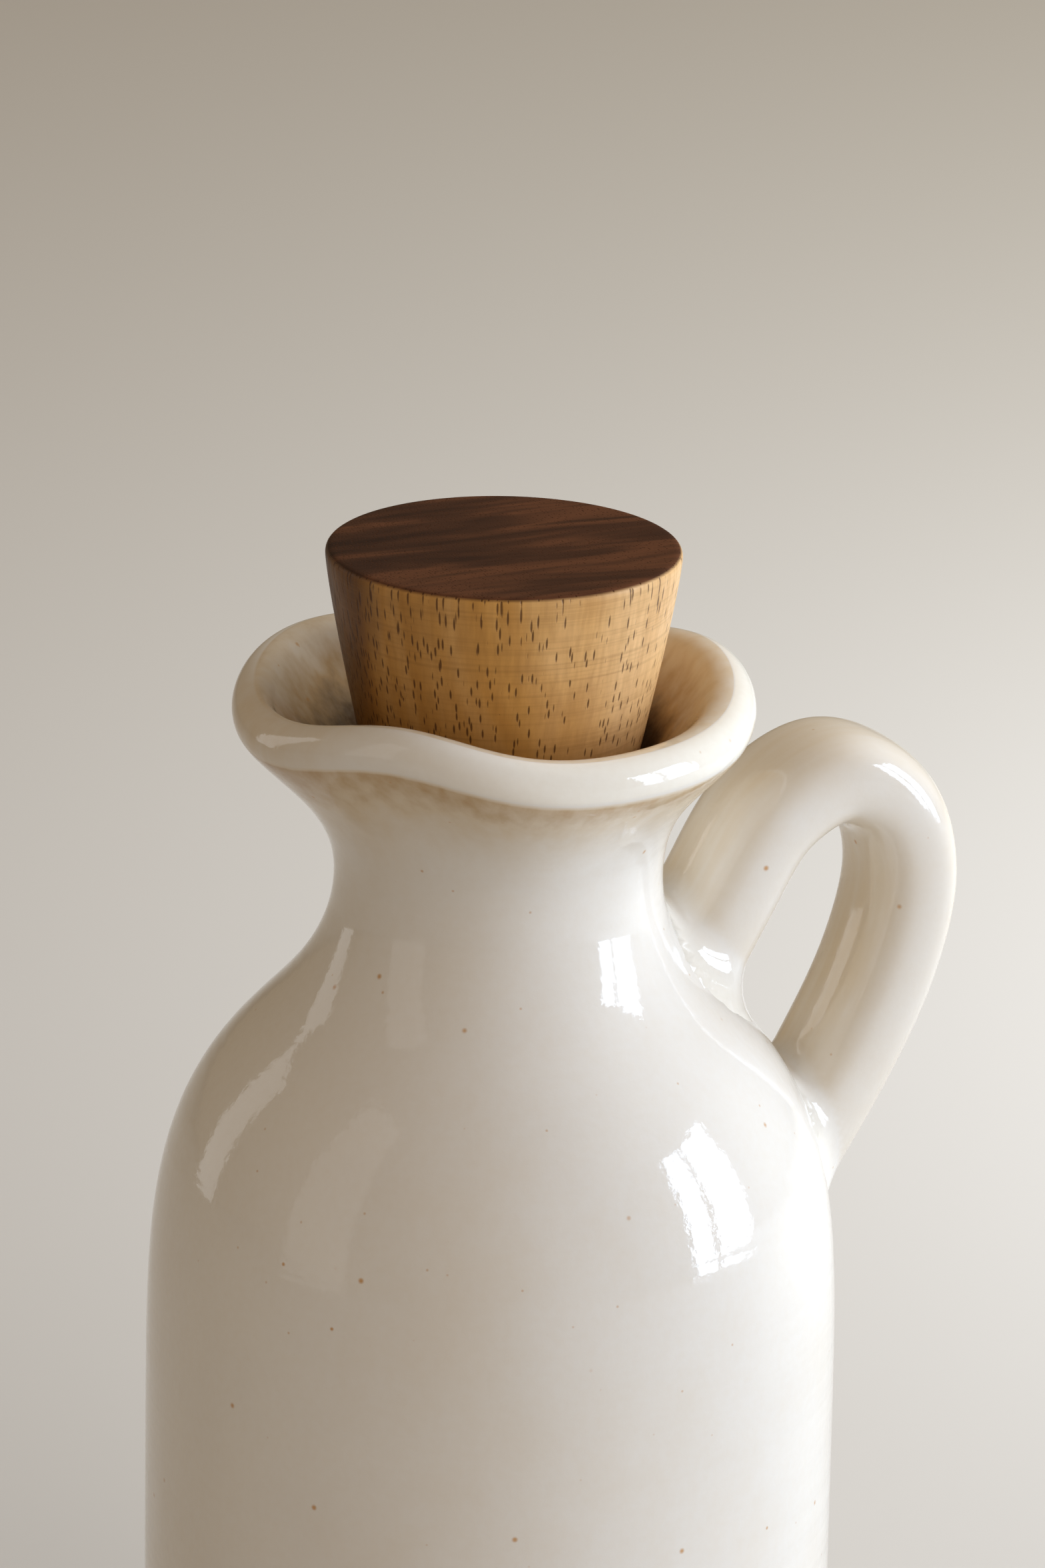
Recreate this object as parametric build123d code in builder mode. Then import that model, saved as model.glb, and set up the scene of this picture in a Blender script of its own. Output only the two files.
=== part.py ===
"""Stoneware cruet: a thrown bottle with a pulled pouring lip, a handle, and a turned wooden stopper.

Millimetres, +Z up. The origin is on the bottle's axis, on the plane that it stands on.
The pouring lip points to -X and the handle to +X, and the whole object is symmetric about Y = 0.
"""

import os
from math import cos, exp, hypot, radians, sin

from build123d import *

os.makedirs("parts", exist_ok=True)

# Bottle: body, shoulder and neck
BODY_RADIUS = 44.0
WALL = 4.0
FLOOR_THICKNESS = 5.0
BASE_ROUND = 2.5
FLOOR_ROUND = 6.0
SIDE_TOP = 78.0
NECK_RADIUS = 20.6
BORE_RADIUS = 17.0
NECK_TOP = 134.0
BORE_START = 130.0
SHOULDER_OUTER = ((42.6, 92.0), (37.2, 106.2), (29.5, 115.7), (22.4, 125.0))
SHOULDER_INNER = ((38.7, 91.0), (33.9, 104.0), (26.7, 112.9), (18.9, 122.5))

# Rim: a rolled bead that rises beside the lip and towards the handle
BEAD_RADIUS = 3.5
RIM_RADIUS = 28.2
LIP_PULL = 1.9
EAR_BULGE = 1.2
RIM_LOW = 157.3
EAR_RISE = 4.0
BACK_RISE = 3.2
EAR_ANGLE = 42.0
EAR_SPREAD = 26.0
EAR_BULGE_ANGLE = 65.0
BACK_SPREAD = 35.0
FUNNEL_FOOT = 143.0
BEAD_OUTER_ANGLE = -43.0
BEAD_INNER_ANGLE = 150.0
SECTION_STEP = 15
SEAM_STEP = 0.06

# Handle: a thick strap that flares where it joins the bottle
HANDLE_LINE = (
    (23.5, 114.0),
    (30.2, 126.0),
    (36.9, 136.6),
    (45.9, 141.1),
    (53.8, 136.6),
    (56.6, 126.8),
    (53.9, 114.6),
    (47.4, 101.4),
    (37.0, 85.0),
)
HANDLE_HALF_WIDTH = 9.0
HANDLE_HALF_THICKNESS = 6.2
HANDLE_SQUARENESS = 2.6
HANDLE_SECTIONS = 17
SECTION_POINTS = 16
UPPER_ROOT_FLARE = 0.38
LOWER_ROOT_FLARE = 0.10
ROOT_REACH = 0.12

# Stopper: a tapered plug with a groove for the seal
STOPPER_TOP = 176.0
STOPPER_RADIUS = 22.2
STOPPER_EDGE = 0.9
TAPER_START = (20.4, 164.0)
TAPER_END = (16.4, 145.0)
SHANK_RADIUS = 14.8
SHANK_BOTTOM = 133.0
SHANK_CHAMFER = 1.2
GROOVE_RADIUS = 13.0
GROOVE_BOTTOM = 135.0
GROOVE_TOP = 142.6

# Seal: a ribbed sleeve in the stopper's groove
SEAL_FIT = 0.05
SEAL_END_GAP = 0.1
SEAL_SLEEVE_RADIUS = 15.0
SEAL_RIB_RADIUS = 16.85
SEAL_RIB_HEIGHT = 2.4


def bump(angle, width):
    """A smooth hill of height 1, centred on angle zero."""
    return exp(-((angle / width) ** 2))


def radial_plane(turn):
    """The upright half plane at a number of degrees round from the lip, radius first, height second."""
    outward = (-cos(radians(turn)), sin(radians(turn)), 0)
    normal = (sin(radians(turn)), cos(radians(turn)), 0)
    return Plane(origin=(0, 0, 0), x_dir=outward, z_dir=normal)


def bead_centre(turn):
    """Radius and height of the rolled rim's centre at a number of degrees round from the lip."""
    ears = bump(turn - EAR_ANGLE, EAR_SPREAD) + bump(turn + EAR_ANGLE, EAR_SPREAD)
    bulge = bump(turn - EAR_BULGE_ANGLE, EAR_SPREAD) + bump(turn + EAR_BULGE_ANGLE, EAR_SPREAD)
    crest = RIM_LOW + EAR_RISE * ears + BACK_RISE * bump(abs(turn) - 180, BACK_SPREAD)
    radius = RIM_RADIUS + LIP_PULL * (1 + cos(radians(turn))) / 2 + EAR_BULGE * bulge
    return radius, crest - BEAD_RADIUS


def eased_curve(start, start_way, start_pull, end, end_way, end_pull):
    """The control points of a curve that leaves start and reaches end along two given directions."""
    span = hypot(end[0] - start[0], end[1] - start[1])
    leaving = (start[0] + start_way[0] * span * start_pull, start[1] + start_way[1] * span * start_pull)
    arriving = (end[0] - end_way[0] * span * end_pull, end[1] - end_way[1] * span * end_pull)
    return start, leaving, arriving, end


def rim_section(turn):
    """Draw one slice of the flared neck and rolled rim in the current line."""
    radius, height = bead_centre(turn)

    def on_bead(angle):
        return radius + BEAD_RADIUS * cos(radians(angle)), height + BEAD_RADIUS * sin(radians(angle))

    def along_bead(angle):
        return -sin(radians(angle)), cos(radians(angle))

    outer_foot = (NECK_RADIUS - SEAM_STEP, NECK_TOP)
    inner_foot = (BORE_RADIUS + SEAM_STEP, NECK_TOP)
    bore_top = (BORE_RADIUS + SEAM_STEP, FUNNEL_FOOT)
    bead_start = on_bead(BEAD_OUTER_ANGLE)
    bead_end = on_bead(BEAD_INNER_ANGLE)
    Bezier(*eased_curve(outer_foot, (0, 1), 0.42, bead_start, along_bead(BEAD_OUTER_ANGLE), 0.36))
    ThreePointArc(bead_start, on_bead(90), bead_end)
    Bezier(*eased_curve(bead_end, along_bead(BEAD_INNER_ANGLE), 0.40, bore_top, (0, -1), 0.35))
    Line(bore_top, inner_foot)
    Line(inner_foot, outer_foot)


def outer_outline():
    """Draw the bottle's outside from the base to the top of the neck in the current line."""
    Line((0, 0), (BODY_RADIUS - BASE_ROUND, 0))
    RadiusArc((BODY_RADIUS - BASE_ROUND, 0), (BODY_RADIUS, BASE_ROUND), -BASE_ROUND)
    Line((BODY_RADIUS, BASE_ROUND), (BODY_RADIUS, SIDE_TOP))
    Spline((BODY_RADIUS, SIDE_TOP), *SHOULDER_OUTER, (NECK_RADIUS, NECK_TOP), tangents=((0, 1), (0, 1)))


# Bottle: the thrown body, then the rim and lip that were rolled and pulled from the same clay
with BuildPart() as bottle_body:
    for turn in range(-SECTION_STEP, 180 + 2 * SECTION_STEP, SECTION_STEP):
        with BuildSketch(radial_plane(turn)):
            with BuildLine():
                rim_section(turn)
            make_face()
    loft()
    split(bisect_by=Plane.XZ, keep=Keep.BOTTOM)
    mirror(about=Plane.XZ)
    with BuildSketch(Plane.XZ):
        with BuildLine():
            outer_outline()
            Line((NECK_RADIUS, NECK_TOP), (BORE_RADIUS, NECK_TOP))
            Line((BORE_RADIUS, NECK_TOP), (BORE_RADIUS, BORE_START))
            inner_side = BODY_RADIUS - WALL
            inner_shoulder = ((inner_side, SIDE_TOP - 2), *SHOULDER_INNER, (BORE_RADIUS, BORE_START))
            Spline(*reversed(inner_shoulder), tangents=((0, -1), (0, -1)))
            Line((inner_side, SIDE_TOP - 2), (inner_side, FLOOR_THICKNESS + FLOOR_ROUND))
            floor_edge = inner_side - FLOOR_ROUND
            RadiusArc((inner_side, FLOOR_THICKNESS + FLOOR_ROUND), (floor_edge, FLOOR_THICKNESS), FLOOR_ROUND)
            Line((floor_edge, FLOOR_THICKNESS), (0, FLOOR_THICKNESS))
            Line((0, FLOOR_THICKNESS), (0, 0))
        make_face()
    revolve(axis=Axis.Z)
bottle_body.part.label = "bottle_body"
export_step(bottle_body.part, "parts/bottle_body.step")


# The bottle's outside as one solid, used to trim the handle's two roots to it
with BuildPart() as bottle_outside:
    with BuildSketch(Plane.XZ):
        with BuildLine():
            outer_outline()
            Line((NECK_RADIUS, NECK_TOP), (0, NECK_TOP))
            Line((0, NECK_TOP), (0, 0))
        make_face()
    revolve(axis=Axis.Z)


def handle_section(width, thickness):
    """Draw one slice of the handle, a softly squared oval, in the current line."""
    points = []
    for step in range(SECTION_POINTS):
        angle = radians(360 * step / SECTION_POINTS)
        across = abs(cos(angle)) ** (2 / HANDLE_SQUARENESS)
        through = abs(sin(angle)) ** (2 / HANDLE_SQUARENESS)
        points.append((width * across * (1 if cos(angle) > 0 else -1),
                       thickness * through * (1 if sin(angle) > 0 else -1)))
    Spline(*points, periodic=True)


# Handle: a loft along its bent centre line, wider and thicker where it joins the bottle
with BuildPart() as strap_handle:
    with BuildLine(Plane.XZ) as handle_path:
        Spline(*HANDLE_LINE)
    path = handle_path.line
    for step in range(HANDLE_SECTIONS):
        along = step / (HANDLE_SECTIONS - 1)
        flare = 1 + UPPER_ROOT_FLARE * bump(along, ROOT_REACH) + LOWER_ROOT_FLARE * bump(1 - along, ROOT_REACH)
        across_path = Plane(origin=path @ along, x_dir=(0, 1, 0), z_dir=path % along)
        with BuildSketch(across_path):
            with BuildLine():
                handle_section(HANDLE_HALF_WIDTH * flare, HANDLE_HALF_THICKNESS * flare)
            make_face()
    loft()
    add(bottle_outside.part, mode=Mode.SUBTRACT)
strap_handle.part.label = "strap_handle"
export_step(strap_handle.part, "parts/strap_handle.step")


# Stopper: one turned piece of wood
with BuildPart() as stopper_plug:
    with BuildSketch(Plane.XZ):
        with BuildLine():
            edge_in = STOPPER_RADIUS - STOPPER_EDGE
            edge_down = STOPPER_TOP - STOPPER_EDGE
            Line((0, STOPPER_TOP), (edge_in, STOPPER_TOP))
            RadiusArc((edge_in, STOPPER_TOP), (STOPPER_RADIUS, edge_down), STOPPER_EDGE)
            Spline((STOPPER_RADIUS, edge_down), TAPER_START, tangents=((-0.03, -1), (-0.21, -1)))
            Line(TAPER_START, TAPER_END)
            Polyline(
                TAPER_END,
                (SHANK_RADIUS, TAPER_END[1] - 1),
                (SHANK_RADIUS, GROOVE_TOP),
                (GROOVE_RADIUS, GROOVE_TOP),
                (GROOVE_RADIUS, GROOVE_BOTTOM),
                (SHANK_RADIUS, GROOVE_BOTTOM),
                (SHANK_RADIUS, SHANK_BOTTOM + SHANK_CHAMFER),
                (SHANK_RADIUS - SHANK_CHAMFER, SHANK_BOTTOM),
                (0, SHANK_BOTTOM),
                (0, STOPPER_TOP),
            )
        make_face()
    revolve(axis=Axis.Z)
stopper_plug.part.label = "stopper_plug"
export_step(stopper_plug.part, "parts/stopper_plug.step")


# Seal: a soft sleeve with two round ribs that press on the bore
with BuildPart() as stopper_seal:
    seal_inner = GROOVE_RADIUS + SEAL_FIT
    seal_bottom = GROOVE_BOTTOM + SEAL_END_GAP
    seal_top = GROOVE_TOP - SEAL_END_GAP
    with BuildSketch(Plane.XZ):
        with BuildLine():
            corner = (SEAL_SLEEVE_RADIUS, seal_bottom)
            Polyline(corner, (seal_inner, seal_bottom), (seal_inner, seal_top), (SEAL_SLEEVE_RADIUS, seal_top))
            for rib_top in (seal_top, (seal_top + seal_bottom) / 2):
                rib_middle = (SEAL_RIB_RADIUS, rib_top - SEAL_RIB_HEIGHT / 2 - 0.5)
                rib_foot_top = (SEAL_SLEEVE_RADIUS, rib_middle[1] + SEAL_RIB_HEIGHT / 2)
                rib_foot_bottom = (SEAL_SLEEVE_RADIUS, rib_middle[1] - SEAL_RIB_HEIGHT / 2)
                Line((SEAL_SLEEVE_RADIUS, rib_top), rib_foot_top)
                ThreePointArc(rib_foot_top, rib_middle, rib_foot_bottom)
                if rib_top == seal_top:
                    Line(rib_foot_bottom, (SEAL_SLEEVE_RADIUS, (seal_top + seal_bottom) / 2))
                else:
                    Line(rib_foot_bottom, corner)
        make_face()
    revolve(axis=Axis.Z)
stopper_seal.part.label = "stopper_seal"
export_step(stopper_seal.part, "parts/stopper_seal.step")
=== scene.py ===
from math import atan2, cos, exp, hypot, pi, radians, sin, sqrt, tan

import bpy
from mathutils import Matrix, Vector
from mathutils.bvhtree import BVHTree


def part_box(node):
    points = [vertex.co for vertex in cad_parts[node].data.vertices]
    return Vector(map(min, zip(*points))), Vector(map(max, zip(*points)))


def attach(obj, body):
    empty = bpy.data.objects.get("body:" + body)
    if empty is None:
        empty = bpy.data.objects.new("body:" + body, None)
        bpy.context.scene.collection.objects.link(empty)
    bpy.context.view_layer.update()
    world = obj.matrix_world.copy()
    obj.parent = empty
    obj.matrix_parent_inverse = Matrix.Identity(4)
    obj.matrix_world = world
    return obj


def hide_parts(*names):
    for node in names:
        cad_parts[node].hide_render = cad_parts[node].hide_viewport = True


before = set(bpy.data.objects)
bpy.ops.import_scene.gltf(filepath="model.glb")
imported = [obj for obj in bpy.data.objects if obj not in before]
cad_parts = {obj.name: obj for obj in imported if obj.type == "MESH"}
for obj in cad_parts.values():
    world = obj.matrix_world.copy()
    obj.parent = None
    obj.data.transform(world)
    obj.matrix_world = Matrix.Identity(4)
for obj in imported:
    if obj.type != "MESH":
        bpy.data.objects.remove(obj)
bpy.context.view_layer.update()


# The setting: a long lens a little above the cruet, turned so that the lip points to the left and
# towards the viewer and the handle goes away to the right.
VIEW_TURN = radians(-25)
VIEW_DROP = radians(18.6)
VIEW_ROLL = radians(1.07)
VIEW_DISTANCE = 1.1
AIM_RIGHT = 0.00227
AIM_DOWN = 0.0295
LENS_LENGTH = 204
SENSOR_HEIGHT = 36

to_viewer = Vector((
    sin(VIEW_TURN) * cos(VIEW_DROP),
    -cos(VIEW_TURN) * cos(VIEW_DROP),
    sin(VIEW_DROP),
))
level_right = Vector((cos(VIEW_TURN), sin(VIEW_TURN), 0))
level_up = to_viewer.cross(level_right)
camera_right = level_right * cos(VIEW_ROLL) + level_up * sin(VIEW_ROLL)
camera_up = level_up * cos(VIEW_ROLL) - level_right * sin(VIEW_ROLL)
stopper_top = Vector((0, 0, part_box("stopper_plug")[1].z))
aim = stopper_top + camera_right * AIM_RIGHT - camera_up * AIM_DOWN
camera_place = aim + to_viewer * VIEW_DISTANCE

camera_data = bpy.data.cameras.new("camera")
camera_data.lens = LENS_LENGTH
camera_data.sensor_fit = "VERTICAL"
camera_data.sensor_height = SENSOR_HEIGHT
camera = bpy.data.objects.new("camera", camera_data)
camera.matrix_world = Matrix((
    (camera_right.x, camera_up.x, to_viewer.x, camera_place.x),
    (camera_right.y, camera_up.y, to_viewer.y, camera_place.y),
    (camera_right.z, camera_up.z, to_viewer.z, camera_place.z),
    (0, 0, 0, 1),
))
bpy.context.scene.collection.objects.link(camera)
bpy.context.scene.camera = camera

SHOULDER_HEIGHT = 0.105
DAYLIGHT = (0.68, 0.81, 1.00)
WALL_LIGHT = (0.93, 0.94, 1.00)
PLAIN_WHITE = (1.00, 1.00, 1.00)
level_away = level_right.cross(Vector((0, 0, -1)))


def flat_lamp(name, width, height, power, colour, placing):
    """A flat rectangular lamp that shines down its own Z axis."""
    lamp = bpy.data.lights.new(name, "AREA")
    lamp.shape = "RECTANGLE"
    lamp.size = width
    lamp.size_y = height
    lamp.energy = power
    lamp.color = colour
    lamp_object = bpy.data.objects.new(name, lamp)
    lamp_object.matrix_world = placing
    bpy.context.scene.collection.objects.link(lamp_object)
    return lamp_object


def window(name, bearings, rises, distance, power, colour):
    """An upright flat light that fills a patch of the room, as the bottle's shoulder sees it.

    The two bearings are degrees to the right of the viewer, the two rises degrees above the level.
    """
    turn = VIEW_TURN - pi / 2 + radians(sum(bearings) / 2)
    half_width = distance * tan(radians(bearings[1] - bearings[0]) / 2)
    low, high = (distance * tan(radians(rise)) for rise in rises)
    outward = Vector((cos(turn), sin(turn), 0))
    place = outward * distance + Vector((0, 0, SHOULDER_HEIGHT + (low + high) / 2))
    placing = Matrix.Translation(place) @ outward.to_track_quat("Z", "Y").to_matrix().to_4x4()
    return flat_lamp(name, 2 * half_width, high - low, power, colour, placing)


window("window_left_pane", (71, 80.1), (-5, 31), 1.5, 7.40, DAYLIGHT)
window("window_right_pane", (82.3, 98), (-5, 31), 1.5, 12.60, DAYLIGHT)
front_wall = window("front_wall", (10, 62), (-5, 50), 2.4, 26.50, WALL_LIGHT)
front_wall.visible_glossy = False
window("left_strip_far", (-123, -110), (-4, 30), 1.5, 0.99, PLAIN_WHITE)
window("left_strip_near", (-73, -49), (-10, 52), 1.5, 1.76, PLAIN_WHITE)


def table_wash(name, right, behind, height, size, power, colour):
    """A lamp over the table, out of the picture, that lights its right more than its left."""
    place = level_right * right + level_away * behind + Vector((0, 0, height))
    lamp_object = flat_lamp(name, size, size, power, colour, Matrix.Translation(place))
    lamp_object.visible_glossy = False


table_wash("table_wash_near", 0.36, 0.30, 0.42, 0.2, 3.10, (0.80, 0.88, 1.00))
table_wash("table_wash_far", 0.60, 0.80, 0.70, 0.3, 3.03, (0.95, 1.00, 0.94))

ROOM_COLOUR = (1.00, 0.74, 0.46, 1)
ROOM_STRENGTH = 0.258
world = bpy.data.worlds.new("room")
world.use_nodes = True
background = world.node_tree.nodes["Background"]
background.inputs["Color"].default_value = ROOM_COLOUR
background.inputs["Strength"].default_value = ROOM_STRENGTH
bpy.context.scene.world = world
bpy.context.scene.view_settings.view_transform = "Standard"


def new_paint(name):
    """A new material, with its node tree and its main shader."""
    paint = bpy.data.materials.new(name)
    paint.use_nodes = True
    return paint, paint.node_tree, paint.node_tree.nodes["Principled BSDF"]


TABLE_SIZE = 8
bpy.ops.object.select_all(action="DESELECT")
bpy.ops.mesh.primitive_plane_add(size=TABLE_SIZE, location=(0, 0, 0))
floor = bpy.context.object
floor.name = "floor"
floor_paint, _, floor_shader = new_paint("pale_table")
floor_shader.inputs["Base Color"].default_value = (0.62, 0.585, 0.53, 1)
floor_shader.inputs["Roughness"].default_value = 0.9
floor.data.materials.append(floor_paint)


# The bottle is thrown in stoneware on a wheel: a straight body, a round shoulder, a waisted neck and
# a rim rolled outwards. The lip is pulled from the soft rim with a finger, which leaves a raised
# "ear" on each side of it, the far one a little lower and rounder. Then it is glazed and fired.
BODY_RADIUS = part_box("bottle_body")[1].x
BORE_RADIUS = 0.0170
NECK_RADIUS = 0.0206
NECK_TOP = 0.1340
FUNNEL_FOOT = 0.1430
BEAD_RADIUS = 0.0036
RIM_RADIUS = 0.0282
LIP_PULL = 0.0019
EAR_BULGE = 0.0012
RIM_LOW = 0.1573
EAR_RISE = 0.0040
BACK_RISE = 0.0032
EAR_ANGLE = 42
EAR_SPREAD = 26
FAR_EAR_ANGLE = 62
FAR_EAR_SPREAD = 40
FAR_EAR_SHARE = 0.66
LIP_CHANNEL = 0.0013
LIP_CHANNEL_SPREAD = 40
EAR_BULGE_ANGLE = 65
BACK_SPREAD = 35


def bump(angle, width):
    """A smooth hill of height 1, centred on angle zero."""
    return exp(-((angle / width) ** 2))


def rim_pull(turn):
    """How far the rim is pulled out and up, at a number of degrees round from the lip."""
    near_ear = bump(turn + EAR_ANGLE, EAR_SPREAD)
    far_ear = bump(turn - FAR_EAR_ANGLE, FAR_EAR_SPREAD)
    ears = near_ear + FAR_EAR_SHARE * far_ear
    bulge = bump(turn - EAR_BULGE_ANGLE, EAR_SPREAD) + bump(turn + EAR_BULGE_ANGLE, EAR_SPREAD)
    rise = EAR_RISE * ears + BACK_RISE * bump(abs(turn) - 180, BACK_SPREAD)
    out = LIP_PULL * (1 + cos(radians(turn))) / 2 + EAR_BULGE * bulge
    return out, rise


def eased(start, start_way, start_pull, end, end_way, end_pull, steps):
    """Points on a smooth curve between two places, without its first point."""
    span = hypot(end[0] - start[0], end[1] - start[1])
    leave = [start[i] + start_way[i] * span * start_pull for i in (0, 1)]
    arrive = [end[i] - end_way[i] * span * end_pull for i in (0, 1)]
    points = []
    for step in range(1, steps + 1):
        t = step / steps
        weights = ((1 - t) ** 3, 3 * t * (1 - t) ** 2, 3 * t * t * (1 - t), t ** 3)
        pulls = (start, leave, arrive, end)
        points.append(tuple(sum(w * p[i] for w, p in zip(weights, pulls)) for i in (0, 1)))
    return points


def on_bead(degrees):
    """The place on the rolled rim at an angle: 0 outermost, 90 on top."""
    centre = RIM_LOW - BEAD_RADIUS
    radius = RIM_RADIUS + BEAD_RADIUS * cos(radians(degrees))
    return radius, centre + BEAD_RADIUS * sin(radians(degrees))


def along_bead(degrees):
    """The way that the rolled rim heads at that angle."""
    return -sin(radians(degrees)), cos(radians(degrees))


def start_ring(name, segments, ring, fill):
    """A new piece that begins as one level ring, open for editing."""
    radius, height = ring
    bpy.ops.object.select_all(action="DESELECT")
    bpy.ops.mesh.primitive_circle_add(
        vertices=segments, radius=radius, fill_type=fill, location=(0, 0, height)
    )
    piece = bpy.context.object
    piece.name = name
    bpy.ops.object.transform_apply(location=True)
    bpy.ops.object.mode_set(mode="EDIT")
    bpy.ops.mesh.select_all(action="SELECT")
    return piece


def draw_rings(rings):
    """Draw the ring being edited on through the other rings, one at a time."""
    radius, height = rings[0]
    for next_radius, next_height in rings[1:]:
        bpy.ops.mesh.extrude_region_move(
            TRANSFORM_OT_translate={"value": (0, 0, next_height - height)}
        )
        scale = next_radius / radius
        bpy.ops.transform.resize(value=(scale, scale, 1), center_override=(0, 0, next_height))
        radius, height = next_radius, next_height


def close_up():
    """Leave editing, with every face turned outwards and shaded smooth."""
    bpy.ops.mesh.select_all(action="SELECT")
    bpy.ops.mesh.normals_make_consistent(inside=False)
    bpy.ops.object.mode_set(mode="OBJECT")
    bpy.ops.object.shade_smooth()


def soften(piece, levels):
    """Round a piece off by splitting its faces a number of times."""
    rounding = piece.modifiers.new("smooth", "SUBSURF")
    rounding.levels = levels
    rounding.render_levels = levels
    bpy.ops.object.modifier_apply(modifier=rounding.name)


def turned(name, rings, segments, smoothing):
    """A solid turned about the upright axis: a disc whose edge is drawn up, out and in."""
    piece = start_ring(name, segments, rings[0], "TRIFAN")
    draw_rings(rings)
    close_up()
    soften(piece, smoothing)
    return piece


BEAD_FROM, BEAD_TO = -43, 150
BEAD_STEPS = 9
outer_wall = [
    (0.010, 0), (0.030, 0), (0.0400, 0), (0.0424, 0.0003), (0.0436, 0.0013),
    (BODY_RADIUS - 0.00005, 0.0034), (BODY_RADIUS, 0.008), (BODY_RADIUS, 0.020),
    (BODY_RADIUS, 0.035), (BODY_RADIUS, 0.050), (BODY_RADIUS, 0.064),
    (0.04395, 0.074), (0.04372, 0.081), (0.04325, 0.0875), (0.0422, 0.0940),
    (0.0405, 0.1000), (0.0381, 0.1052), (0.0352, 0.1096), (0.0319, 0.1134),
    (0.0286, 0.1167), (0.0257, 0.1199), (0.0234, 0.1233), (0.0217, 0.1270),
    (0.0208, 0.1306), (NECK_RADIUS, NECK_TOP),
]
flare = eased(
    outer_wall[-1], (0, 1), 0.42, on_bead(BEAD_FROM), along_bead(BEAD_FROM), 0.36, 7
)
bead = [
    on_bead(BEAD_FROM + (BEAD_TO - BEAD_FROM) * step / BEAD_STEPS)
    for step in range(1, BEAD_STEPS + 1)
]
funnel = eased(
    bead[-1], along_bead(BEAD_TO), 0.40, (BORE_RADIUS, FUNNEL_FOOT), (0, -1), 0.35, 6
)
inner_wall = [
    (BORE_RADIUS, 0.1385), (BORE_RADIUS, 0.1340), (0.0171, 0.1300), (0.0179, 0.1258),
    (0.0197, 0.1215), (0.0225, 0.1173), (0.0262, 0.1133), (0.0303, 0.1090),
    (0.0341, 0.1040), (0.0370, 0.0975), (0.0389, 0.0895), (0.0398, 0.080),
    (0.0400, 0.070), (0.0400, 0.050), (0.0400, 0.030), (0.0400, 0.013),
    (0.0388, 0.0076), (0.0350, 0.0053), (0.025, 0.005), (0.010, 0.005),
]
bottle = turned("bottle", outer_wall + flare + bead + funnel + inner_wall, 64, 2)

CREASE_HEIGHT = on_bead(BEAD_FROM)[1]


def lip_share(radius, height):
    """How much of the rim's pull reaches a point: none in the neck, all on the rolled rim."""
    outside = radius > BORE_RADIUS + 0.0028 + 0.25 * max(0, height - FUNNEL_FOOT)
    foot = NECK_TOP if outside else FUNNEL_FOOT - 0.002
    share = min(1, max(0, (height - foot) / (CREASE_HEIGHT - foot)))
    return share * share * (3 - 2 * share)


def in_mouth(radius, height):
    """Whether a point is on the inner wall, which opens out above the funnel's foot."""
    up = max(0, height - FUNNEL_FOOT)
    return radius < BORE_RADIUS + 0.0018 + 0.35 * up + 25 * up * up


# How thick the glaze lies: 0 bare and thin, 0.5 usual, 1 thick. Below 0 it is painted shade, dark
# down the bore.
USUAL_DEPTH = 0.5
RIM_DEPTH = 0.80
LIP_THINNING = 0.42
LIP_SPREAD = 62
CREASE_DEPTH = 0.20
CREASE_CLIMB = 480
CREASE_OFFSET = 0.0006
CREASE_THINNING = 0.27
CREASE_REACH = 0.0056
BORE_SHADE_DEPTH = -0.20
FUNNEL_SHADE_LIFT = 0.52
FUNNEL_SHADE_REACH = 0.0130
BORE_SHADE_FROM = 0.1


def glaze_depth_and_shading(radius, height, turn):
    """How thick the glaze lies at a point of the bottle, and inside the neck the painted shade of the
    bore.
    """
    near_lip = bump(turn, LIP_SPREAD)
    inside = in_mouth(radius, height)
    if height > NECK_TOP and not inside:
        under = CREASE_HEIGHT + CREASE_OFFSET - height
        if under > 0:
            reach = CREASE_REACH + 0.003 * near_lip
            return USUAL_DEPTH - (CREASE_THINNING + 0.06 * near_lip) * exp(-((under / reach) ** 2))
        return min(RIM_DEPTH - LIP_THINNING * near_lip, CREASE_DEPTH - under * CREASE_CLIMB)
    # inside the neck, painted shade: dark brown low in the bore, fading to the usual glaze up the
    # funnel
    if inside and height > BORE_SHADE_FROM:
        up = max(0, height - FUNNEL_FOOT)
        return BORE_SHADE_DEPTH + FUNNEL_SHADE_LIFT * min(1, up / FUNNEL_SHADE_REACH)
    return USUAL_DEPTH


# the finger's pull on the rim, and the channel it leaves down the inside of the lip
AXIS_GAP = 0.001
CHANNEL_FADE = 0.003
CHANNEL_DROP = 0.8
bottle_depths_and_shading = []
for vertex in bottle.data.vertices:
    x, y, z = vertex.co
    radius = hypot(x, y)
    turn = atan2(y, -x) * 180 / pi
    bottle_depths_and_shading.append(glaze_depth_and_shading(radius, z, turn))
    if z > NECK_TOP and radius > AXIS_GAP:
        out, rise = rim_pull(turn)
        share = lip_share(radius, z)
        channel = 0
        if in_mouth(radius, z):
            fade = min(1, max(0, (RIM_RADIUS + 0.0002 - radius) / CHANNEL_FADE))
            channel = LIP_CHANNEL * bump(turn, LIP_CHANNEL_SPREAD) * fade
        grown = (radius + (out + channel) * share) / radius
        vertex.co = (x * grown, y * grown, z + (rise - CHANNEL_DROP * channel) * share)


# Glaze: a cream stoneware glaze. It is milky where it is thick, breaks to tan where it runs thin, and
# carries small iron spots that burnt through from the clay. Deep in the bore it is painted shade.
def add_node(tree, kind, settings=None, **inputs):
    """Add one node. An input given as a socket is linked, any other value is set."""
    new_node = tree.nodes.new(kind)
    for key, value in (settings or {}).items():
        setattr(new_node, key, value)
    for key, value in inputs.items():
        place = int(key[1:]) if key[0] == "_" and key[1:].isdigit() else key.replace("_", " ")
        if isinstance(value, bpy.types.NodeSocket):
            tree.links.new(value, new_node.inputs[place])
        else:
            new_node.inputs[place].default_value = value
    return new_node


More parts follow.
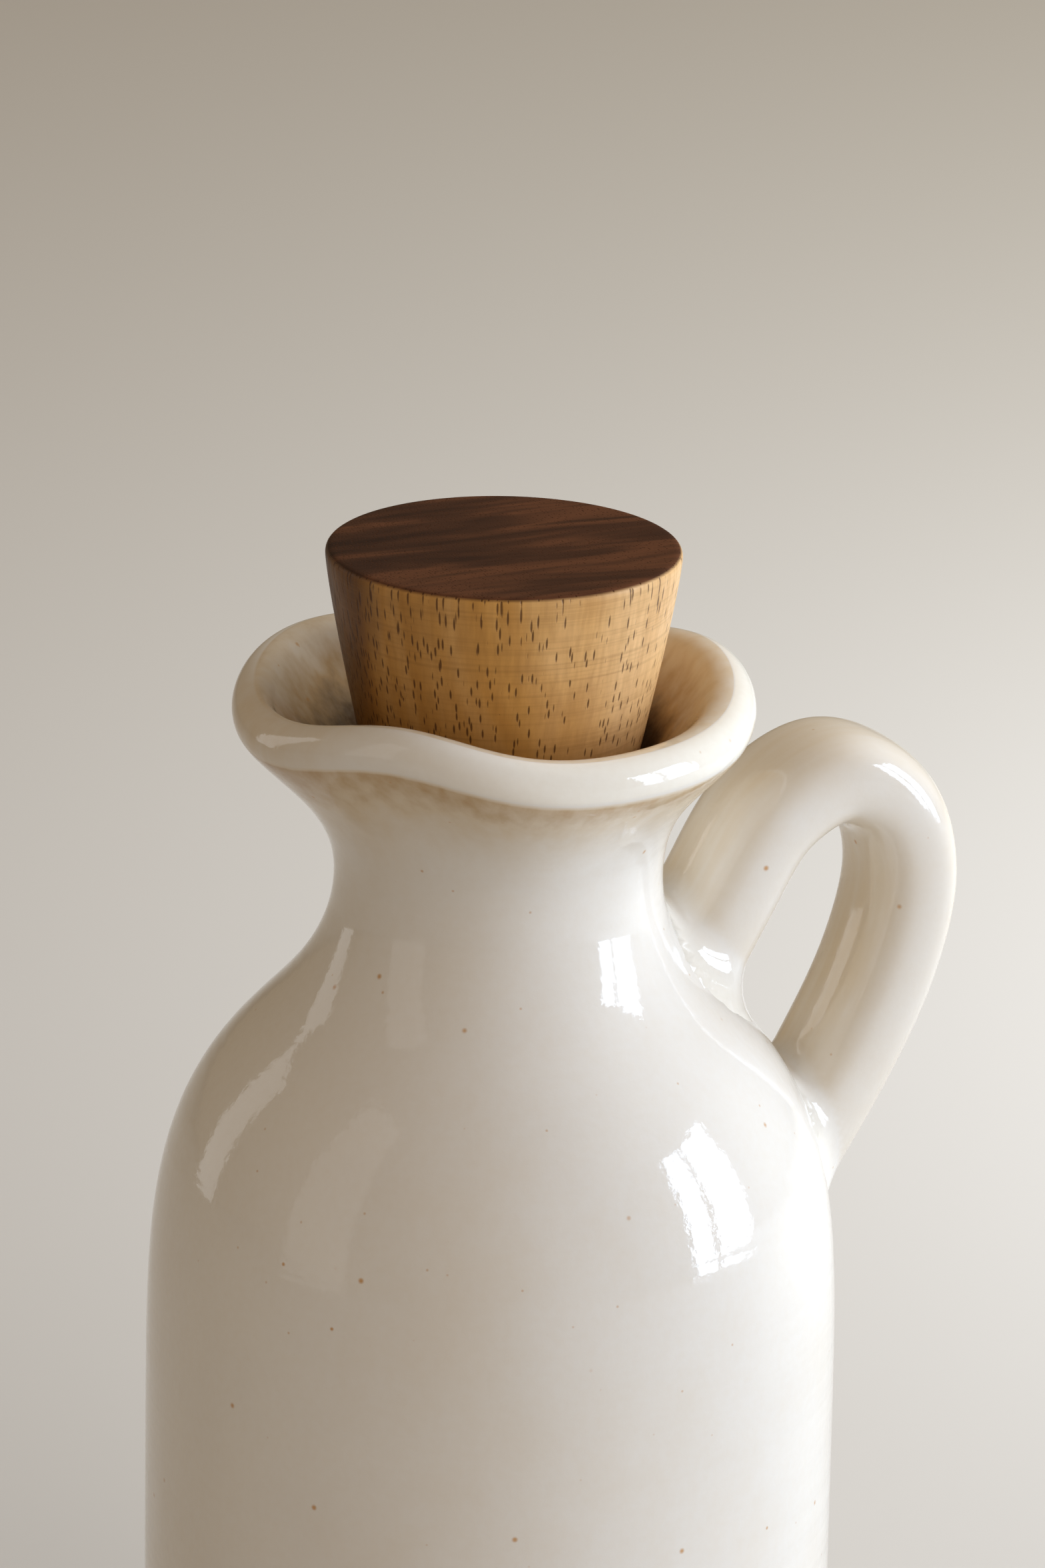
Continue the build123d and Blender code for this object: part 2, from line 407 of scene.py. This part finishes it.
def colour_ramp(tree, factor, stops):
    """A colour ramp with the given (position, colour) stops."""
    ramp = add_node(tree, "ShaderNodeValToRGB", Fac=factor)
    elements = ramp.color_ramp.elements
    while len(elements) < len(stops):
        elements.new(0.5)
    for element, (position, colour) in zip(elements, stops):
        element.position = position
        element.color = (*colour, 1)
    return ramp.outputs["Color"]


def value_map(tree, value, low, high, to_low, to_high):
    """Stretch a value from one range to another, held at both ends."""
    return add_node(
        tree, "ShaderNodeMapRange",
        Value=value, From_Min=low, From_Max=high, To_Min=to_low, To_Max=to_high,
    ).outputs["Result"]


def mixed(tree, factor, first, second, blend="MIX"):
    """Mix two colours by a factor."""
    mix = tree.nodes.new("ShaderNodeMix")
    mix.data_type = "RGBA"
    mix.blend_type = blend
    for place, value in ((0, factor), (6, first), (7, second)):
        if isinstance(value, bpy.types.NodeSocket):
            tree.links.new(value, mix.inputs[place])
        else:
            mix.inputs[place].default_value = value if place == 0 else (*value, 1)
    return mix.outputs[2]


def noise(tree, place, scale, detail, **more):
    """Soft cloudy noise. More detail gives it a finer grain."""
    made = add_node(tree, "ShaderNodeTexNoise", Vector=place, Scale=scale, Detail=detail, **more)
    return made.outputs["Fac"]


def from_noise(tree, value, to_low, to_high):
    """Stretch noise, which mostly lies between 0.3 and 0.7, to a given range."""
    return value_map(tree, value, 0.3, 0.7, to_low, to_high)


def stretched(tree, place, scale, turn=0):
    """A place turned about the upright axis and scaled, so that a pattern on it is drawn out."""
    made = add_node(
        tree, "ShaderNodeMapping", Vector=place, Rotation=(0, 0, radians(turn)), Scale=scale
    )
    return made.outputs["Vector"]


def maths(tree, operation, first, second):
    """One sum on two values."""
    made = add_node(tree, "ShaderNodeMath", {"operation": operation}, _0=first, _1=second)
    return made.outputs[0]


def bumped(tree, strength, distance, height, under=None, sunk=False):
    """A surface that rises with a pattern, or sinks with it, on top of another bump if given."""
    made = add_node(
        tree, "ShaderNodeBump", {"invert": sunk},
        Strength=strength, Distance=distance, Height=height,
    )
    if under is not None:
        tree.links.new(under, made.inputs["Normal"])
    return made.outputs["Normal"]


def spot_group():
    """Node group: small round spots scattered in space. Size is a spot's share of its cell."""
    group = bpy.data.node_groups.new("iron_spots", "ShaderNodeTree")
    sockets = (
        ("Vector", "NodeSocketVector"), ("Cells per metre", "NodeSocketFloat"),
        ("Size", "NodeSocketFloat"),
    )
    for name, kind in sockets:
        group.interface.new_socket(name, in_out="INPUT", socket_type=kind)
    group.interface.new_socket("Mask", in_out="OUTPUT", socket_type="NodeSocketFloat")
    given = group.nodes.new("NodeGroupInput").outputs
    cells = add_node(
        group, "ShaderNodeTexVoronoi", Vector=given["Vector"], Scale=given["Cells per metre"]
    )
    inner = maths(group, "MULTIPLY", given["Size"], 0.2)
    mask = add_node(
        group, "ShaderNodeMapRange", {"interpolation_type": "SMOOTHSTEP"},
        Value=cells.outputs["Distance"], From_Min=inner, From_Max=given["Size"],
        To_Min=1.0, To_Max=0.0,
    )
    group.links.new(mask.outputs["Result"], group.nodes.new("NodeGroupOutput").inputs["Mask"])
    return group


IRON_SPOTS = spot_group()
MILK = (0.92, 0.872, 0.755)
CREAM = (0.80, 0.765, 0.70)
BEIGE = (0.71, 0.595, 0.435)
TAN = (0.50, 0.33, 0.16)
# painted shade: the dark brown deep inside the bore
BORE_SHADE_BROWN = (0.13, 0.080, 0.042)
RUST = (0.55, 0.27, 0.07)
GLAZE_BY_DEPTH_AND_SHADING = ((0.02, BORE_SHADE_BROWN), (0.15, TAN), (0.30, BEIGE), (0.5, CREAM), (0.85, MILK))
SPOT_SIZES = ((128, 0.066, 0.85), (215, 0.055, 0.5), (95, 0.034, 0.9))
GLAZE_IOR = 1.58


def glaze_material(name, wheel_marks, run_scale):
    """Glazed stoneware, with throwing rings of a given strength.

    The run scale is small along the way that the glaze ran.
    """
    glaze, tree, shader = new_paint(name)
    where = add_node(tree, "ShaderNodeTexCoord").outputs["Object"]
    depth_and_shading = add_node(tree, "ShaderNodeAttribute", {"attribute_name": "glaze_depth_and_shading"}).outputs["Fac"]
    cloud = noise(tree, where, 38.0, 4.0, Roughness=0.55)
    streak = noise(tree, stretched(tree, where, run_scale), 420.0, 3.0)
    mottle = noise(tree, where, 900.0, 3.0)

    # it lies unevenly everywhere, and runs in streaks where it is thin
    drift = from_noise(tree, cloud, -0.04, 0.04)
    thin_only = value_map(tree, depth_and_shading, 0.3, 0.5, 1.0, 0.10)
    runs = maths(tree, "MULTIPLY", from_noise(tree, streak, -0.05, 0.05), thin_only)
    uneven = maths(tree, "ADD", maths(tree, "ADD", drift, runs), depth_and_shading)
    # the ramp gives the glaze colour, and its lowest values the painted shade of the bore
    colour = colour_ramp(tree, uneven, GLAZE_BY_DEPTH_AND_SHADING)
    colour = mixed(tree, value_map(tree, mottle, 0.35, 0.75, 0.0, 0.10), colour, BEIGE)
    for cells, size, strength in SPOT_SIZES:
        spots = add_node(
            tree, "ShaderNodeGroup", {"node_tree": IRON_SPOTS},
            Vector=where, Cells_per_metre=cells, Size=size,
        )
        colour = mixed(tree, maths(tree, "MULTIPLY", spots.outputs["Mask"], strength), colour, RUST)
    tree.links.new(colour, shader.inputs["Base Color"])
    tree.links.new(from_noise(tree, cloud, 0.035, 0.075), shader.inputs["Roughness"])
    shader.inputs["IOR"].default_value = GLAZE_IOR

    # a fine skin, a slow swell, and the rings that the fingers leave on the wheel
    swell = noise(tree, where, 55.0, 1.0)
    rings = noise(tree, stretched(tree, where, (5.0, 5.0, 260.0)), 1.0, 2.0)
    skin = bumped(tree, 0.05, 0.0004, mottle)
    swelling = bumped(tree, 0.16, 0.0011, swell, skin)
    ridges = bumped(tree, wheel_marks, 0.0004, rings, swelling)
    tree.links.new(ridges, shader.inputs["Normal"])
    return glaze


def paint_depth_and_shading(piece, depths):
    """Store how thick the glaze lies at each vertex, with any painted shading carried in the same
    values.
    """
    layer = piece.data.attributes.new("glaze_depth_and_shading", "FLOAT", "POINT")
    layer.data.foreach_set("value", depths)


# the base is wiped clean before firing, so it stays bare clay
CLAY_GRIT = ((0.3, (0.43, 0.35, 0.26)), (0.6, (0.56, 0.48, 0.38)), (0.75, (0.30, 0.20, 0.13)))
BASE_HEIGHT = 0.0006
bottle.data.materials.append(glaze_material("bottle_glaze", 0.30, (1.0, 1.0, 0.16)))
bare_clay, clay_tree, clay_shader = new_paint("bare_clay")
clay_place = add_node(clay_tree, "ShaderNodeTexCoord").outputs["Object"]
clay_noise = noise(clay_tree, clay_place, 1400.0, 6.0)
clay_colour = colour_ramp(clay_tree, clay_noise, CLAY_GRIT)
clay_tree.links.new(clay_colour, clay_shader.inputs["Base Color"])
clay_shader.inputs["Roughness"].default_value = 0.85
clay_tree.links.new(bumped(clay_tree, 0.35, 0.0003, clay_noise), clay_shader.inputs["Normal"])
bottle.data.materials.append(bare_clay)
for face in bottle.data.polygons:
    if face.center.z < BASE_HEIGHT:
        face.material_index = 1
paint_depth_and_shading(bottle, bottle_depths_and_shading)
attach(bottle, "bottle")
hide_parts("bottle_body")


# The handle is a thick strap of the same clay, pulled by hand, bent into an ear and pressed on to the
# shoulder at both ends. Clay is worked round each end, so it swells out there to meet the bottle.
HANDLE_LINE = (
    (0.0235, 0.1140), (0.0302, 0.1260), (0.0369, 0.1366), (0.0459, 0.1411), (0.0538, 0.1366),
    (0.0566, 0.1268), (0.0539, 0.1146), (0.0474, 0.1014), (0.0370, 0.0850),
)
HANDLE_HALF_WIDTH = 0.0090
HANDLE_HALF_THICKNESS = 0.0062
HANDLE_SQUARENESS = 2.6
HANDLE_STEPS = 12
FILLET_REACH = 0.0052
ROOT_DEPTH = 0.0014
ROOT_AREA = 0.03
HANDLE_DEPTH = 0.35
# the strap's edges are painted lighter: thicker glaze there with a painted highlight where they catch
# the light
EDGE_HIGHLIGHT = 0.12
ROOT_GLAZE = 0.28


def through_points(points, steps):
    """A smooth line through points in the handle's plane, with some steps between each two."""
    line = []
    for i in range(len(points) - 1):
        before = points[max(0, i - 1)]
        start, end = points[i], points[i + 1]
        after = points[min(len(points) - 1, i + 2)]
        for step in range(steps):
            t = step / steps
            line.append(tuple(
                0.5 * (2 * start[k] + (end[k] - before[k]) * t
                       + (2 * before[k] - 5 * start[k] + 4 * end[k] - after[k]) * t * t
                       + (3 * start[k] - before[k] - 3 * end[k] + after[k]) * t ** 3)
                for k in (0, 1)
            ))
    line.append(points[-1])
    return line


handle_line = through_points(HANDLE_LINE, HANDLE_STEPS)
bpy.ops.object.select_all(action="DESELECT")
bpy.ops.mesh.primitive_circle_add(vertices=24, radius=1, fill_type="NGON", location=(0, 0, 0))
handle = bpy.context.object
handle.name = "handle"
for vertex in handle.data.vertices:
    angle = atan2(vertex.co.y, vertex.co.x)
    through, across = cos(angle), sin(angle)
    thick = HANDLE_HALF_THICKNESS * abs(through) ** (2 / HANDLE_SQUARENESS)
    wide = HANDLE_HALF_WIDTH * abs(across) ** (2 / HANDLE_SQUARENESS)
    vertex.co.x = thick * (1 if through > 0 else -1)
    vertex.co.y = wide * (1 if across > 0 else -1)
bpy.ops.object.mode_set(mode="EDIT")
bpy.ops.mesh.select_all(action="SELECT")


def leaning(step):
    """The handle line's lean from upright towards +X at one of its steps."""
    first = handle_line[max(0, step - 1)]
    last = handle_line[min(len(handle_line) - 1, step + 1)]
    return atan2(last[0] - first[0], last[1] - first[1])


bpy.ops.transform.rotate(value=-leaning(0), orient_axis="Y", center_override=(0, 0, 0))
bpy.ops.transform.translate(value=(handle_line[0][0], 0, handle_line[0][1]))
for step in range(1, len(handle_line)):
    here, there = handle_line[step - 1], handle_line[step]
    move = (there[0] - here[0], 0, there[1] - here[1])
    bpy.ops.mesh.extrude_region_move(TRANSFORM_OT_translate={"value": move})
    turn = leaning(step) - leaning(step - 1)
    turn = atan2(sin(turn), cos(turn))
    bpy.ops.transform.rotate(value=-turn, orient_axis="Y", center_override=(there[0], 0, there[1]))
close_up()
soften(handle, 1)

bottle_skin = BVHTree.FromObject(bottle, bpy.context.evaluated_depsgraph_get())
roots = (
    (Vector((0.0262, 0, 0.1190)), Vector((0.72, 0, 0.69)), 1.0),
    (Vector((0.0425, 0, 0.0930)), Vector((0.95, 0, 0.31)), 0.75),
)
handle_depths_and_shading = []
for vertex in handle.data.vertices:
    point = vertex.co.copy()
    nearest = min(handle_line, key=lambda place: hypot(place[0] - point.x, place[1] - point.z))
    centre = Vector((nearest[0], 0, nearest[1]))
    root, outward, share = min(roots, key=lambda item: (item[0] - point).length)
    hit = bottle_skin.ray_cast(point + outward * ROOT_AREA, -outward)[0]
    # the strap's edges are painted lighter, a painted highlight on top of the glaze's depth
    depth_and_shading = HANDLE_DEPTH + EDGE_HIGHLIGHT * min(1, (abs(point.y) / HANDLE_HALF_WIDTH) ** 4)
    if hit is not None and (root - point).length < ROOT_AREA:
        height = (point - hit).dot(outward)
        reach = FILLET_REACH * share
        if height < reach:
            into = min(1, max(0, (reach - height) / reach))
            spread = reach * (1 - sqrt(max(0, 1 - into * into)))
            aside = point - centre
            aside -= outward * aside.dot(outward)
            if aside.length > 1e-6:
                moved = point + aside.normalized() * spread
                hit = bottle_skin.ray_cast(moved + outward * ROOT_AREA, -outward)[0] or hit
                point = hit + outward * max(height, -ROOT_DEPTH)
            depth_and_shading += ROOT_GLAZE * into
    vertex.co = point
    handle_depths_and_shading.append(depth_and_shading)
handle.data.materials.append(glaze_material("handle_glaze", 0.0, (0.12, 1.0, 0.12)))
paint_depth_and_shading(handle, handle_depths_and_shading)
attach(handle, "bottle")
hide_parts("strap_handle")


# The stopper is turned from one piece of acacia, with its grain upright, and oiled. The end grain on
# top drinks the oil and goes much darker than the sides.
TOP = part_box("stopper_plug")[1].z
stopper_rings = [
    (0.006, 0.1330), (0.0120, 0.1330), (0.0134, 0.1330), (0.0140, 0.1334), (0.0147, 0.1341),
    (0.0148, 0.1344), (0.0148, 0.1348), (0.0148, 0.1350), (0.0146, 0.1350), (0.0132, 0.1350),
    (0.0130, 0.1351), (0.0130, 0.1354), (0.0130, 0.1422), (0.0130, 0.1425), (0.0132, 0.1426),
    (0.0146, 0.1426), (0.0148, 0.1426), (0.0148, 0.1428), (0.0148, 0.1437), (0.0149, 0.1440),
    (0.0152, 0.1442), (0.0161, 0.1448), (0.0164, 0.1450), (0.0165, 0.1453), (0.0168, 0.1470),
    (0.0173, 0.1495), (0.0182, 0.1536), (0.0193, 0.1588), (0.0204, 0.1640), (0.0213, 0.1688),
    (0.0219, 0.1724), (0.02215, 0.1744), (0.02222, 0.1751), (0.02212, 0.1756),
    (0.02180, TOP - 0.00008), (0.02130, TOP), (0.0205, TOP), (0.014, TOP), (0.007, TOP),
]
stopper = turned("stopper", stopper_rings, 72, 1)

SIDE_WOOD = (
    (0.34, (0.29, 0.115, 0.020)), (0.46, (0.49, 0.230, 0.048)),
    (0.56, (0.64, 0.335, 0.088)), (0.68, (0.78, 0.46, 0.17)),
)
END_WOOD = (
    (0.34, (0.026, 0.010, 0.006)), (0.5, (0.062, 0.023, 0.011)),
    (0.60, (0.125, 0.045, 0.019)), (0.72, (0.040, 0.016, 0.008)),
)
# heartwood and figure deepened with painted shade; sapwood lightened with painted sheen
FIGURE_AND_SHADE_BROWN = (0.26, 0.110, 0.018)
HEARTWOOD_AND_SHADE = (0.050, 0.015, 0.002)
SAPWOOD_AND_SHEEN = (0.88, 0.58, 0.29)
# the oiled foot, darkened further with painted shade from the funnel round it
OILED_AND_SHADED_FOOT = (0.30, 0.130, 0.020)
FIBRE_BROWN = (0.30, 0.145, 0.04)
LATHE_BROWN = (0.24, 0.11, 0.03)
PORE_BROWN = (0.060, 0.018, 0.005)
stopper_wood, tree, shader = new_paint("stopper_wood")
where = add_node(tree, "ShaderNodeTexCoord").outputs["Object"]
facing = add_node(tree, "ShaderNodeTexCoord").outputs["Normal"]
up = add_node(tree, "ShaderNodeSeparateXYZ", Vector=facing).outputs["Z"]
end_grain = value_map(tree, up, 0.35, 0.85, 0.0, 1.0)

# growth rings run across the top and show on the side as wide upright bands, with dark heartwood on
# the lip's side, deepened there by painted shade, and sapwood lightened by painted sheen on the other
ring_place = stretched(tree, where, (22.0, 130.0, 4.0), 33)
ring_noise = noise(tree, ring_place, 1.0, 3.0, Roughness=0.6, Distortion=0.4)
grain_and_light_turn = stretched(tree, where, (1.0, 1.0, 1.0), 25)
grain_and_light_way = add_node(tree, "ShaderNodeSeparateXYZ", Vector=grain_and_light_turn).outputs["X"]
grain_and_light_wave = noise(tree, stretched(tree, where, (90.0, 90.0, 34.0)), 1.0, 2.0)
grain_and_light_place = maths(tree, "ADD", grain_and_light_way, from_noise(tree, grain_and_light_wave, -0.005, 0.005))
# masks across the piece: real heartwood, figure and sapwood, with painted shade on the dark side and
# painted sheen on the light side
heart_and_shade = value_map(tree, grain_and_light_place, -0.0225, -0.0100, 1.0, 0.0)
figure = value_map(tree, grain_and_light_place, -0.0150, 0.0010, 1.0, 0.0)
figure_and_shade_tone = value_map(tree, grain_and_light_place, -0.0150, 0.0010, 0.5, 0.0)
sapwood_and_sheen = value_map(tree, grain_and_light_place, 0.002, 0.018, 0.0, 0.75)
fibre = noise(tree, stretched(tree, where, (1500.0, 1500.0, 40.0)), 1.0, 4.0)
lathe = noise(tree, stretched(tree, where, (30.0, 30.0, 2400.0)), 1.0, 2.0)
height = add_node(tree, "ShaderNodeSeparateXYZ", Vector=where).outputs["Z"]
side_layers = (
    # painted shade on the dark side and painted sheen on the light side, over the real figure,
    # heartwood and sapwood
    (figure_and_shade_tone, FIGURE_AND_SHADE_BROWN),
    (heart_and_shade, HEARTWOOD_AND_SHADE),
    (sapwood_and_sheen, SAPWOOD_AND_SHEEN),
    # the foot darkens, partly from oil and partly as painted shade from the funnel round it
    (value_map(tree, height, 0.147, 0.164, 0.65, 0.0), OILED_AND_SHADED_FOOT),
    (from_noise(tree, fibre, 0.0, 0.30), FIBRE_BROWN),
    (value_map(tree, lathe, 0.45, 0.75, 0.0, 0.28), LATHE_BROWN),
)
side_colour = colour_ramp(tree, ring_noise, SIDE_WOOD)
for amount, tone in side_layers:
    side_colour = mixed(tree, amount, side_colour, tone)
colour = mixed(tree, end_grain, side_colour, colour_ramp(tree, ring_noise, END_WOOD))

# open pores: short dark dashes on the side, dots on the end
pore_place = stretched(tree, where, (2300.0, 2300.0, 115.0))
pores = add_node(tree, "ShaderNodeTexVoronoi", Vector=pore_place, Scale=1.0, Randomness=1.0)
pore_chance = add_node(
    tree, "ShaderNodeSeparateColor", Color=pores.outputs["Color"]
).outputs["Red"]
pore_share = value_map(tree, figure, 0.0, 1.0, 0.42, 0.85)
pore_here = maths(tree, "LESS_THAN", pore_chance, pore_share)
pore_shape = value_map(tree, pores.outputs["Distance"], 0.22, 0.38, 1.0, 0.0)
pore = maths(tree, "MULTIPLY", pore_here, pore_shape)
colour = mixed(tree, maths(tree, "MULTIPLY", pore, 0.80), colour, PORE_BROWN)
tree.links.new(colour, shader.inputs["Base Color"])
end_sheen = value_map(tree, end_grain, 0.0, 1.0, 0.0, 0.62)
sheen = maths(tree, "MAXIMUM", from_noise(tree, fibre, 0.36, 0.52), end_sheen)
tree.links.new(sheen, shader.inputs["Roughness"])
shader.inputs["Specular IOR Level"].default_value = 0.22
lathe_bump = bumped(tree, 0.12, 0.0002, lathe)
fibre_bump = bumped(tree, 0.12, 0.0002, fibre, lathe_bump)
pore_bump = bumped(tree, 0.4, 0.0003, pore, fibre_bump, sunk=True)
tree.links.new(pore_bump, shader.inputs["Normal"])
stopper.data.materials.append(stopper_wood)
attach(stopper, "stopper")
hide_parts("stopper_plug")


# The seal is a moulded silicone sleeve with two round ribs, stretched into the stopper's groove. The
# ribs stand out just short of the neck's bore.
seal_low, seal_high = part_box("stopper_seal")
SEAL_INNER = 0.01305
SEAL_OUTER = 0.0150
SEAL_RIB = seal_high.x
INNER_EDGE = 0.0004
OUTER_EDGE = 0.0003
RIB_MIDDLES = (0.1369, 0.1407)
RIB_HALF_HEIGHT = 0.0012
SEAL_HAZE = ((0.3, (0.74, 0.72, 0.66)), (0.7, (0.84, 0.83, 0.79)))
WELD = 0.00001
seal_rings = [
    (SEAL_INNER, seal_low.z + INNER_EDGE),
    (SEAL_INNER + INNER_EDGE, seal_low.z),
    (SEAL_OUTER - OUTER_EDGE, seal_low.z),
]
for rib_middle in RIB_MIDDLES:
    for degrees in range(-90, 91, 30):
        rib_depth = (SEAL_RIB - SEAL_OUTER) * cos(radians(degrees))
        rib_height = rib_middle + RIB_HALF_HEIGHT * sin(radians(degrees))
        seal_rings.append((SEAL_OUTER + rib_depth, rib_height))
seal_rings += [
    (SEAL_OUTER - OUTER_EDGE, seal_high.z),
    (SEAL_INNER + INNER_EDGE, seal_high.z),
    (SEAL_INNER, seal_high.z - INNER_EDGE),
]
seal = start_ring("seal", 96, seal_rings[0], "NOTHING")
draw_rings(seal_rings + seal_rings[:1])
bpy.ops.mesh.select_all(action="SELECT")
bpy.ops.mesh.remove_doubles(threshold=WELD)
close_up()
silicone, tree, shader = new_paint("seal_silicone")
where = add_node(tree, "ShaderNodeTexCoord").outputs["Object"]
haze = noise(tree, where, 300.0, 3.0)
tree.links.new(colour_ramp(tree, haze, SEAL_HAZE), shader.inputs["Base Color"])
tree.links.new(from_noise(tree, haze, 0.38, 0.5), shader.inputs["Roughness"])
seal.data.materials.append(silicone)
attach(seal, "seal")
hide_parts("stopper_seal")
